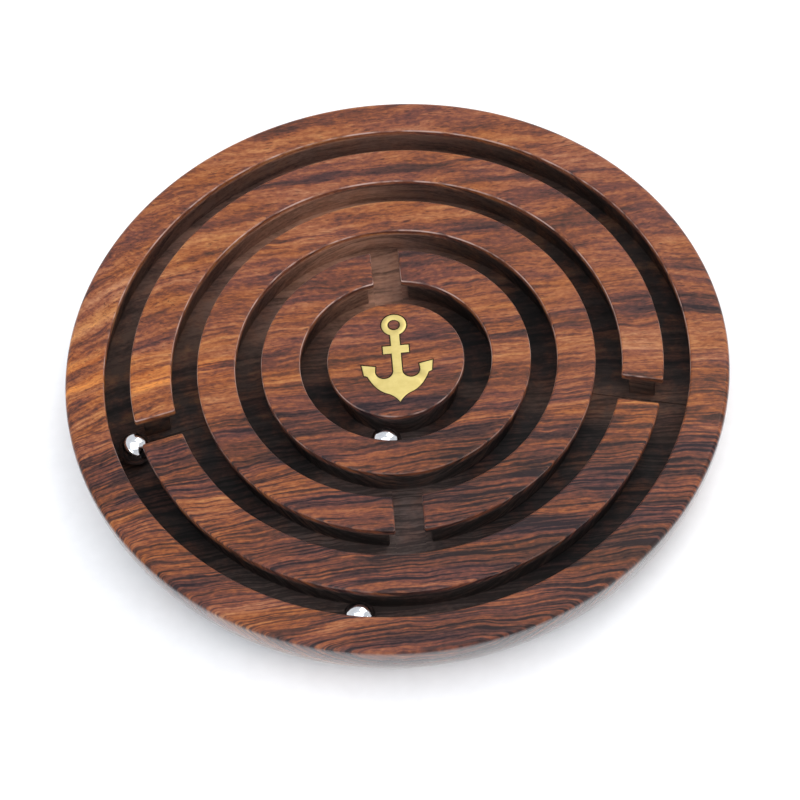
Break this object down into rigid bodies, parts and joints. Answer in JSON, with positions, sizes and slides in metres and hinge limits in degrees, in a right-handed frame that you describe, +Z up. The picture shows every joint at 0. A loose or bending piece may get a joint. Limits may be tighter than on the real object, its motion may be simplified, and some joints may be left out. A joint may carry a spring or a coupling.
{
  "type": "tilt maze game",
  "caption": "Round hand-held wooden tilt maze: concentric undercut ring channels joined by gates, captive steel balls and a flush brass anchor inlay at the centre.",
  "frame": {"origin": "centre of the flat underside", "axes": "+Z up through the board, +Y towards the top gate and the eye of the anchor, +X to the right of a player who faces +Y; the wood's grain runs along X"},
  "size_m": [0.127, 0.127, 0.015],
  "materials": {
    "polished_hardwood": "satin-polished rosewood, red-brown with dark lines, grain along X",
    "inlay_filler": "dark cured filler",
    "inlay_brass": "flat, fine-sanded",
    "ball_steel": "polished bearing steel"
  },
  "bodies": {
    "board": {"board_floor": "polished_hardwood", "outer_rim": "polished_hardwood", "outer_rim_lip": "polished_hardwood", "outer_wall_north": "polished_hardwood", "outer_wall_north_lip": "polished_hardwood", "outer_wall_south": "polished_hardwood", "outer_wall_south_lip": "polished_hardwood", "middle_wall": "polished_hardwood", "middle_wall_lip": "polished_hardwood", "inner_wall": "polished_hardwood", "inner_wall_lip": "polished_hardwood", "centre_island": "polished_hardwood", "centre_island_top": "polished_hardwood", "inlay_bed": "inlay_filler", "anchor_inlay": "inlay_brass"},
    "gate_ball": {"ball_left_gate": "ball_steel"},
    "outer_ball": {"ball_outer_channel": "ball_steel"},
    "inner_ball": {"ball_inner_channel": "ball_steel"}
  },
  "joints": [
    {"name": "gate_ball_roll", "type": "slide", "parent": "board", "child": "gate_ball", "axis": [-0.9732, -0.23, 0], "range_m": [-0.0122, 0.0019]},
    {"name": "outer_ball_roll", "type": "hinge", "parent": "board", "child": "outer_ball", "pos_m": [0, 0, 0], "axis": [0, 0, 1], "range_deg": [-58, 287]},
    {"name": "inner_ball_roll", "type": "hinge", "parent": "board", "child": "inner_ball", "pos_m": [0, 0, 0], "axis": [0, 0, 1], "continuous": true}
  ]
}
